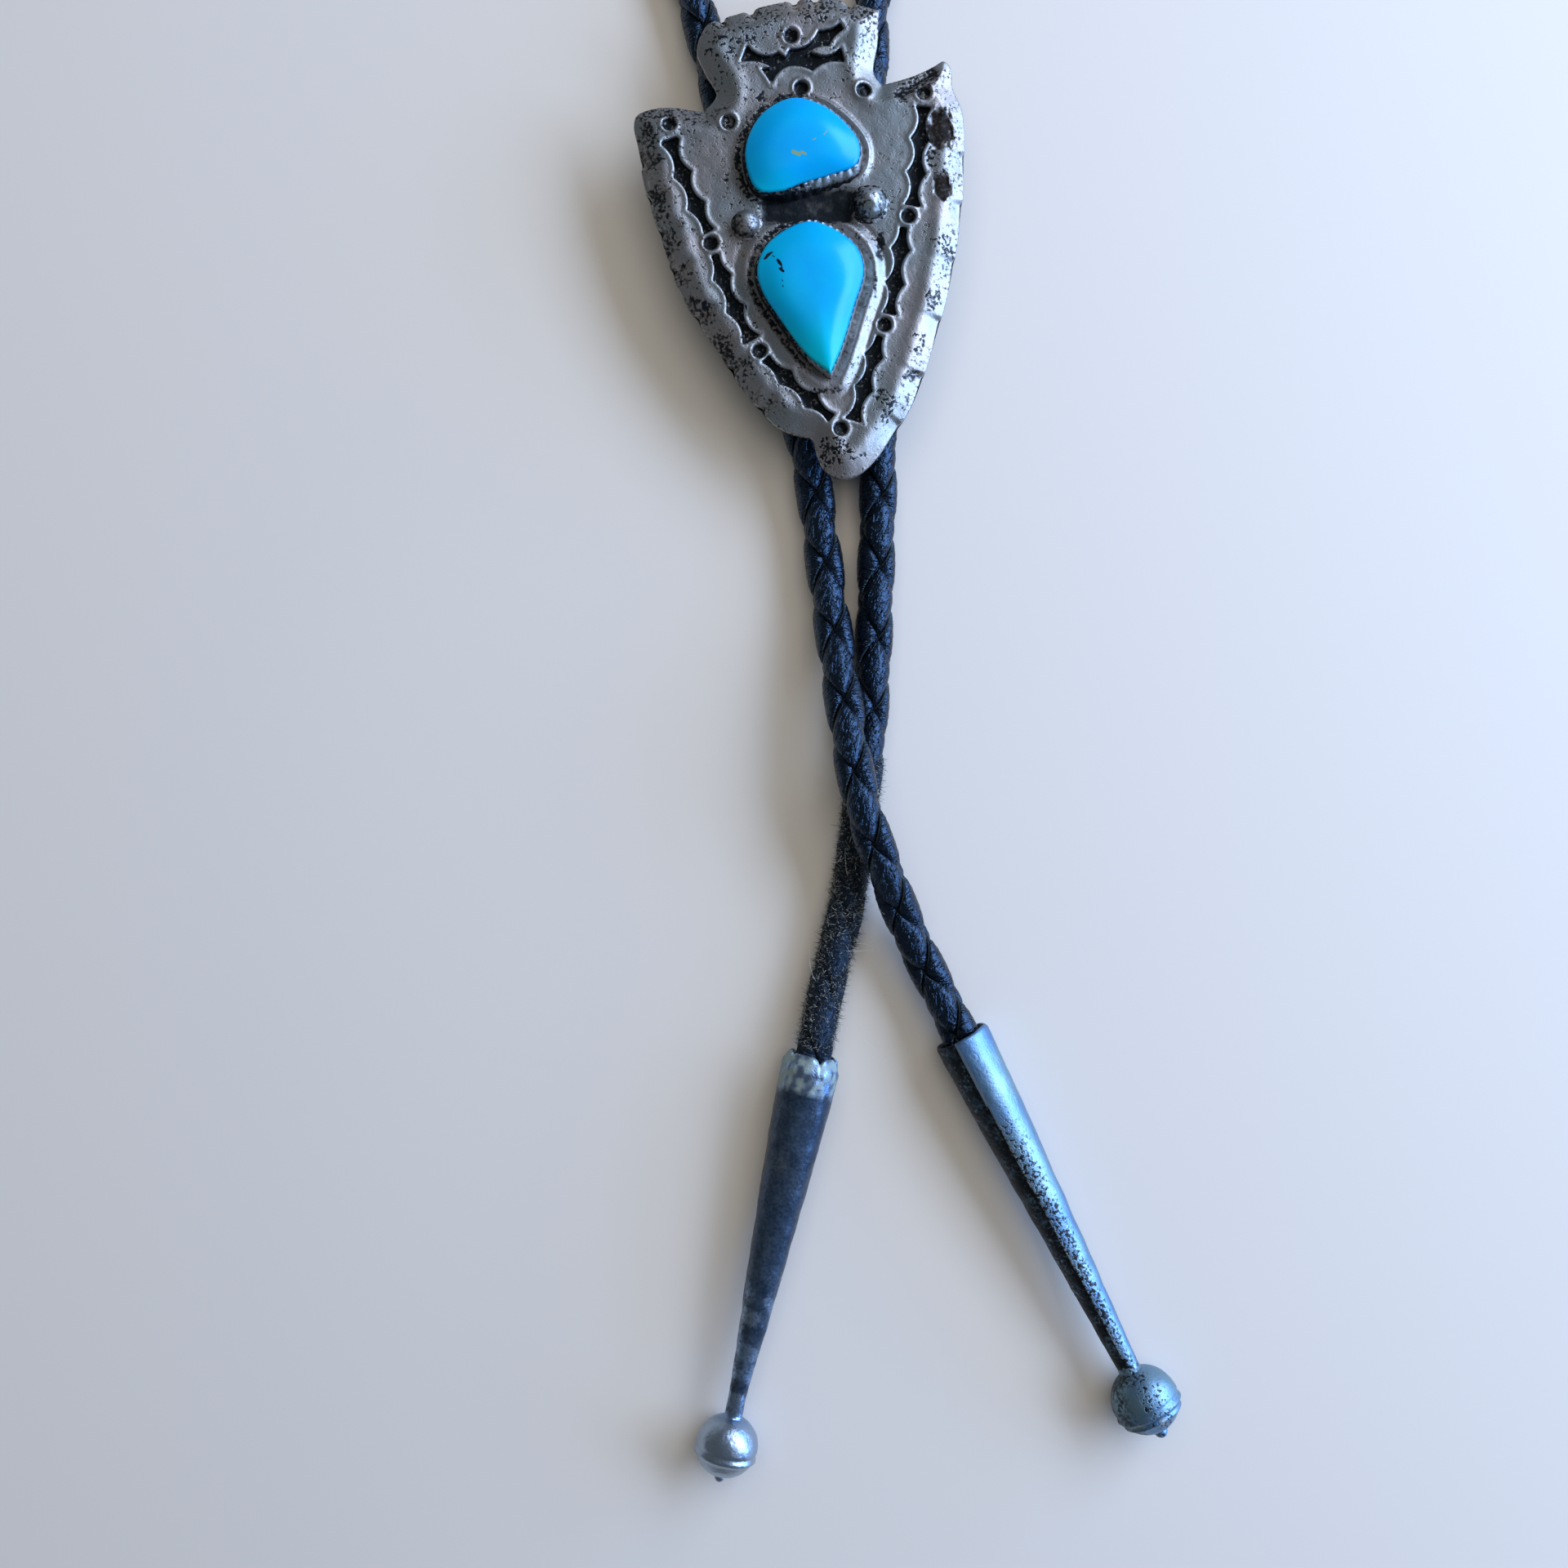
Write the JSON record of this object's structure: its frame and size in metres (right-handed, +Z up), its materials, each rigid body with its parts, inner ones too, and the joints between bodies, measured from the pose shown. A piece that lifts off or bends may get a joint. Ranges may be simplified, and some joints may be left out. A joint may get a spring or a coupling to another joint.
{
  "type": "bolo tie",
  "caption": "Bolo tie: a silver arrowhead slide with blue stones on a round braided leather cord with ball-ended cone tips.",
  "frame": {"origin": "on the flat underside of the clip, below the middle of the slide", "axes": "+Y from the slide towards the neck loop, +Z up, out of the slide's face"},
  "size_m": [0.1816, 0.4413, 0.0134],
  "materials": {
    "oxidised_silver": "oxidised sterling silver, worn bright on the high places",
    "turquoise": "polished sky-blue stone",
    "nickel_clip": "plain satin nickel silver",
    "braided_leather": "black braided leather",
    "worn_leather": "black braided leather worn grey and frayed at its end",
    "tip_silver": "dark oxidised silver"
  },
  "bodies": {
    "root": {"slide_plate": "oxidised_silver", "upper_stone": "turquoise", "lower_stone": "turquoise", "back_clip": "nickel_clip", "neck_cord": "braided_leather", "cord_end_right": "braided_leather", "cord_end_left": "worn_leather", "tip_right": "tip_silver", "tip_left": "tip_silver"}
  },
  "joints": []
}
